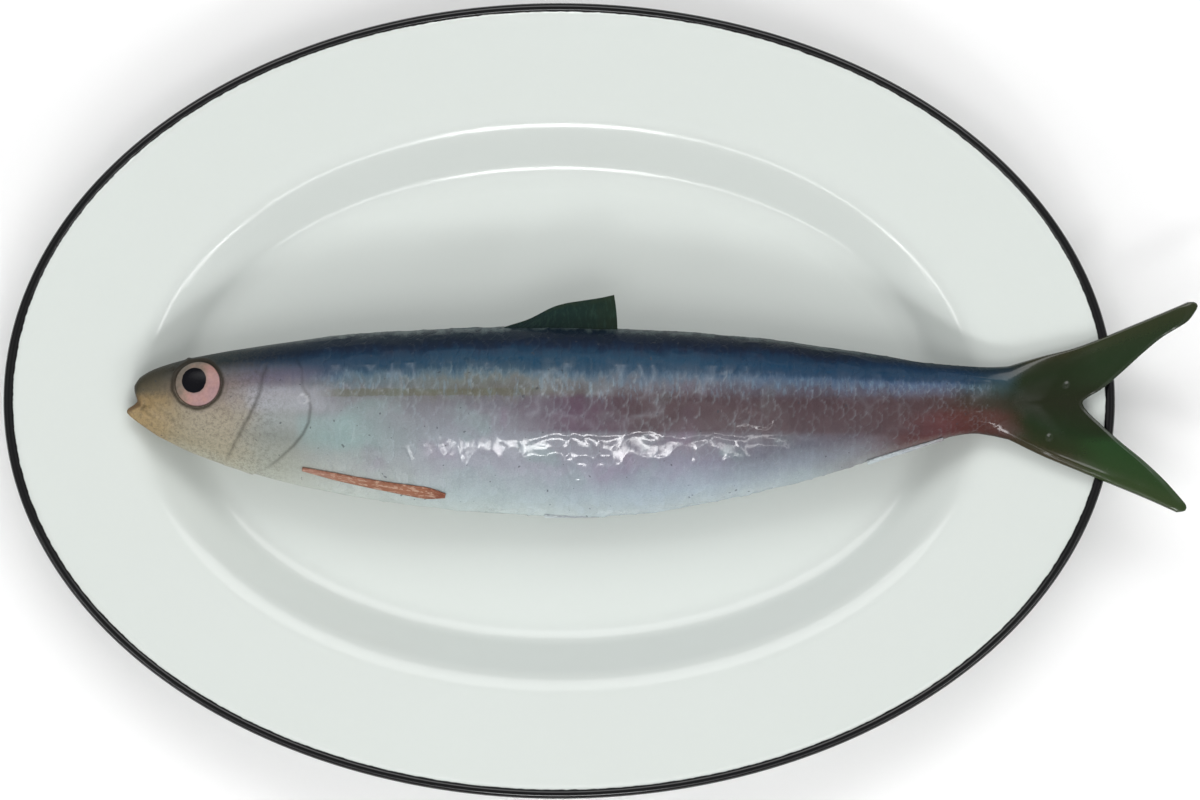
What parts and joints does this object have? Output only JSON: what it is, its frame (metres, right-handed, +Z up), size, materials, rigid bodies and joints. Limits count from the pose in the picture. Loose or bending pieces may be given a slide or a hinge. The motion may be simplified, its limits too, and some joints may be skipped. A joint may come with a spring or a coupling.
{
  "type": "fish on a plate",
  "caption": "Whole raw herring lying on its side across an oval enamelled plate with a dark rolled rim, its tail over the edge; food prop and tableware.",
  "frame": {"origin": "middle of the plate's flat underside, on the surface that the plate stands on", "axes": "+Z up; X along the plate's long axis and the fish, the fish's head towards -X and its tail towards +X; +Y towards the fish's back"},
  "size_m": [0.3219, 0.2156, 0.0313],
  "materials": {
    "enamel": "gloss",
    "fish_skin": "gloss",
    "dark_fin": "gloss",
    "pale_fin": "gloss",
    "ochre_fin": "gloss",
    "eye": "gloss"
  },
  "bodies": {
    "root": {"plate": "enamel", "fish_body": "fish_skin", "caudal_fin": "dark_fin", "dorsal_fin": "dark_fin", "anal_fin": "pale_fin", "pectoral_fin_left": "ochre_fin", "pectoral_fin_right": "ochre_fin", "pelvic_fin_left": "pale_fin", "pelvic_fin_right": "pale_fin", "eye_left": "eye", "eye_right": "eye"}
  },
  "joints": []
}
